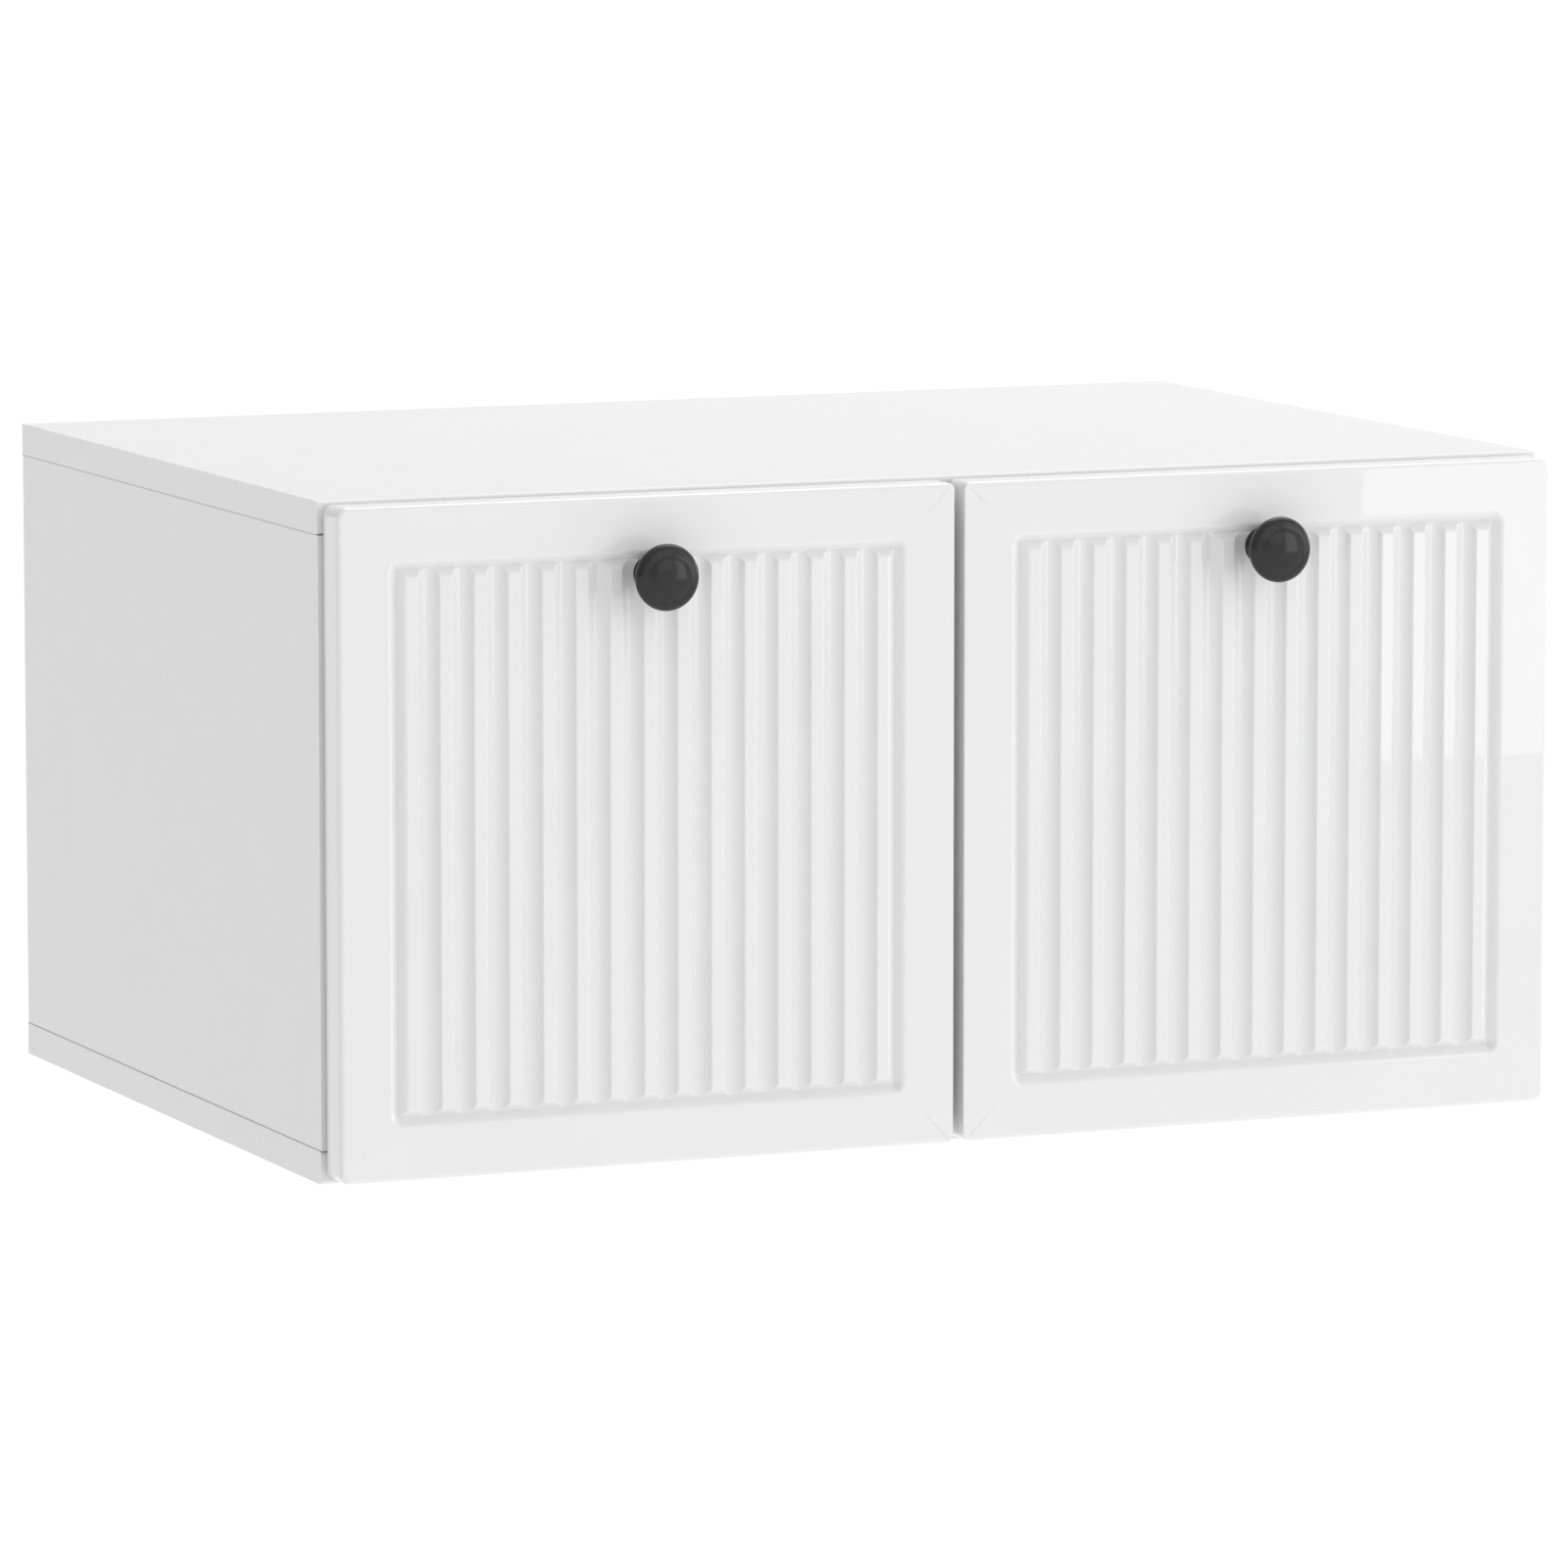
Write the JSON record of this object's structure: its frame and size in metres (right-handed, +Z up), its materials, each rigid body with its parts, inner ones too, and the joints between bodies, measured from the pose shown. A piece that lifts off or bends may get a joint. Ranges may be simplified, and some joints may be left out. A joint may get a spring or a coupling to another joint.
{
  "type": "hanging wall cabinet",
  "caption": "Low wall-hung cabinet in white with two fluted gloss flaps that fall open on cup hinges, dark round knobs and damper struts.",
  "frame": {"origin": "middle of the bounding box's underside: the carcass stands on Z = 0, halfway between the knobs' faces and the wall, halfway across its width", "axes": "+X along the cabinet's width to the viewer's right, +Y from the front towards the wall, +Z up"},
  "size_m": [0.6, 0.4496, 0.304],
  "materials": {
    "carcass_board": "satin white foil on particle board",
    "back_board": "matt white lacquered fibreboard",
    "flap_gloss": "high gloss white foil on fibreboard",
    "knob_dark": "satin dark grey",
    "strut_dark": "satin dark grey",
    "bright_steel": "nickel-plated",
    "rail_steel": "galvanised",
    "zinc": "nickel-plated zinc casting",
    "grey_plastic": "matt",
    "pad_clear": "soft clear",
    "beech": "raw"
  },
  "bodies": {
    "root": {"top_panel": "carcass_board", "bottom_panel": "carcass_board", "side_left": "carcass_board", "side_right": "carcass_board", "divider": "carcass_board", "back_panel": "back_board", "hinge_arm_left_outer": "bright_steel", "hinge_arm_left_inner": "bright_steel", "hinge_arm_right_inner": "bright_steel", "hinge_arm_right_outer": "bright_steel", "hinge_plate_left_outer": "zinc", "hinge_plate_left_inner": "zinc", "hinge_plate_right_inner": "zinc", "hinge_plate_right_outer": "zinc", "plate_screws": "bright_steel", "arm_screws": "bright_steel", "strut_side_bracket_left": "zinc", "strut_side_bracket_right": "zinc", "strut_side_screws": "bright_steel", "catch_left": "grey_plastic", "catch_right": "grey_plastic", "catch_screws": "bright_steel", "cam_locks": "zinc", "cam_bolts": "bright_steel", "dowels": "beech", "hanger_left": "grey_plastic", "hanger_right": "grey_plastic", "hanger_hook_left": "rail_steel", "hanger_hook_right": "rail_steel", "hanger_screws": "bright_steel", "wall_rail": "rail_steel"},
    "flap_left": {"flap_left": "flap_gloss", "knob_left": "knob_dark", "knob_screw_left": "bright_steel", "hinge_cup_left_outer": "bright_steel", "hinge_cup_left_inner": "bright_steel", "hinge_pins_left": "bright_steel", "cup_screws_left": "bright_steel", "strut_flap_bracket_left": "zinc", "strut_flap_screws_left": "bright_steel", "strike_left": "bright_steel", "strike_screws_left": "bright_steel", "pads_left": "pad_clear"},
    "flap_right": {"flap_right": "flap_gloss", "knob_right": "knob_dark", "knob_screw_right": "bright_steel", "hinge_cup_right_inner": "bright_steel", "hinge_cup_right_outer": "bright_steel", "hinge_pins_right": "bright_steel", "cup_screws_right": "bright_steel", "strut_flap_bracket_right": "zinc", "strut_flap_screws_right": "bright_steel", "strike_right": "bright_steel", "strike_screws_right": "bright_steel", "pads_right": "pad_clear"},
    "strut_tube_left": {"strut_tube_left": "strut_dark"},
    "strut_tube_right": {"strut_tube_right": "strut_dark"},
    "strut_rod_left": {"strut_rod_left": "bright_steel"},
    "strut_rod_right": {"strut_rod_right": "bright_steel"}
  },
  "joints": [
    {"name": "flap_left_hinge", "type": "hinge", "parent": "root", "child": "flap_left", "pos_m": [-0.15025, -0.1908, 0.0088], "axis": [1, 0, 0], "range_deg": [0, 90]},
    {"name": "strut_left_rod_pivot", "type": "hinge", "parent": "flap_left", "child": "strut_rod_left", "pos_m": [-0.2738, -0.1718, 0.12729], "axis": [1, 0, 0], "range_deg": [-45, 0]},
    {"name": "strut_left_tube_pivot", "type": "hinge", "parent": "root", "child": "strut_tube_left", "pos_m": [-0.2738, -0.07342, 0.03375], "axis": [1, 0, 0], "range_deg": [0, 45]},
    {"name": "flap_right_hinge", "type": "hinge", "parent": "root", "child": "flap_right", "pos_m": [0.15025, -0.1908, 0.0088], "axis": [1, 0, 0], "range_deg": [0, 90]},
    {"name": "strut_right_rod_pivot", "type": "hinge", "parent": "flap_right", "child": "strut_rod_right", "pos_m": [0.2738, -0.1718, 0.12729], "axis": [1, 0, 0], "range_deg": [-45, 0]},
    {"name": "strut_right_tube_pivot", "type": "hinge", "parent": "root", "child": "strut_tube_right", "pos_m": [0.2738, -0.07342, 0.03375], "axis": [1, 0, 0], "range_deg": [0, 45]}
  ],
  "couplings": [
    {"joint": "strut_left_rod_pivot", "follows": "flap_left_hinge", "ratio": -0.5},
    {"joint": "strut_left_tube_pivot", "follows": "flap_left_hinge", "ratio": 0.5},
    {"joint": "strut_right_rod_pivot", "follows": "flap_right_hinge", "ratio": -0.5},
    {"joint": "strut_right_tube_pivot", "follows": "flap_right_hinge", "ratio": 0.5}
  ]
}
